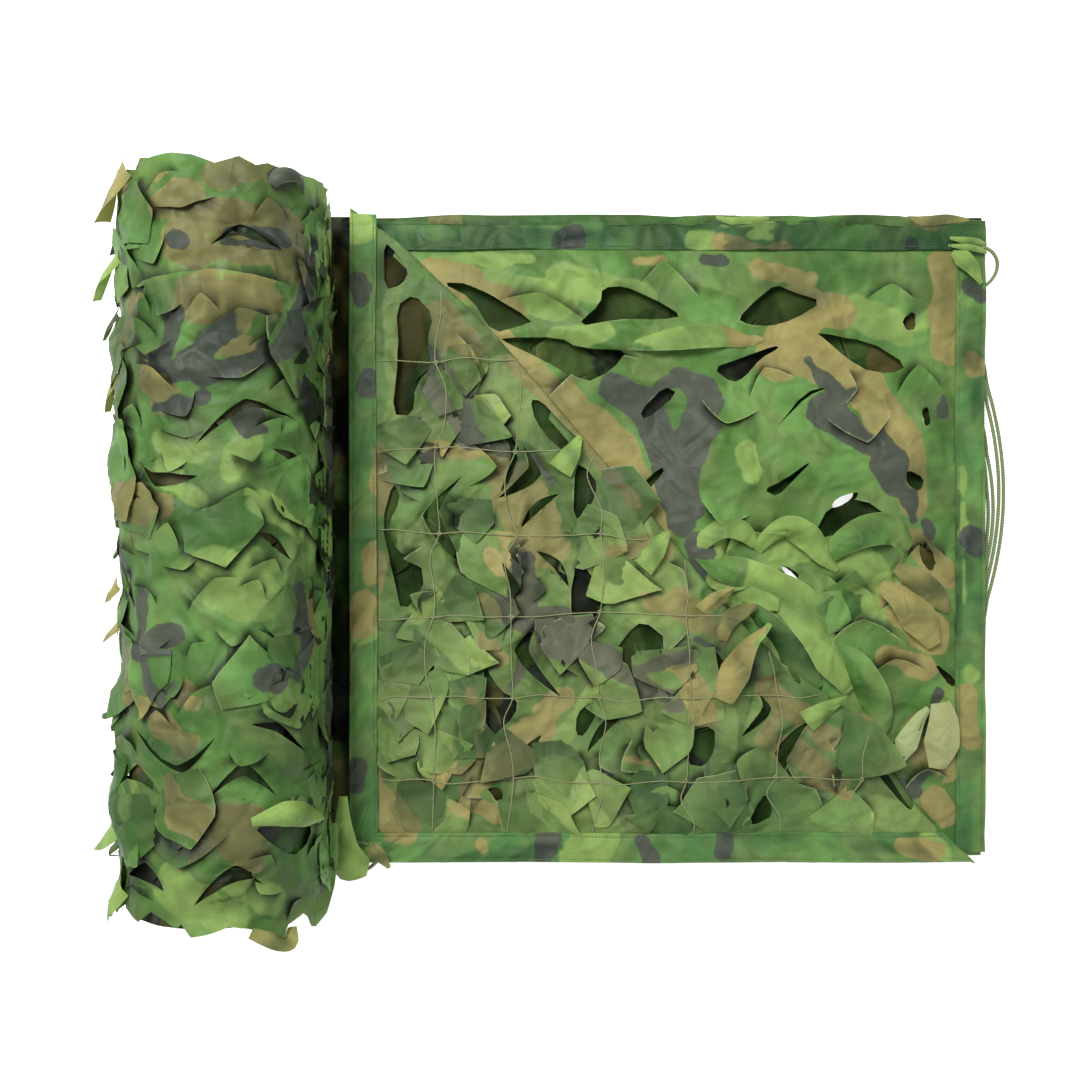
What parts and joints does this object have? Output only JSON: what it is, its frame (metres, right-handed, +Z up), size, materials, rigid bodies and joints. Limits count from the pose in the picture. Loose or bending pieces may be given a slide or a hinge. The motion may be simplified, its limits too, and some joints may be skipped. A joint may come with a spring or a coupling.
{
  "type": "camouflage net",
  "caption": "Leaf-cut camouflage net folded in four and rolled from one end, its loose end flat with one corner turned back",
  "frame": {"origin": "On the surface under the middle of the net's box, lashing cords left out", "axes": "+X from the roll towards the loose end, +Y along the roll's axis, +Z up"},
  "size_m": [0.9727, 0.7638, 0.2243],
  "materials": {
    "garnish_cloth": "printed polyester, leaf cut, slight sheen",
    "binding": "printed binding, stitched",
    "cord": "braided cord"
  },
  "bodies": {
    "root": {"net_roll": "garnish_cloth", "folded_net": "garnish_cloth", "tape_top": "binding", "tape_right": "binding", "tape_flap_left": "binding", "tape_flap_bottom": "binding", "tape_end_lower": "binding", "corner_loop_top": "cord", "corner_loop_low": "cord", "side_strand_1": "cord", "side_strand_2": "cord", "side_strand_3": "cord", "side_strand_4": "cord"}
  },
  "joints": []
}
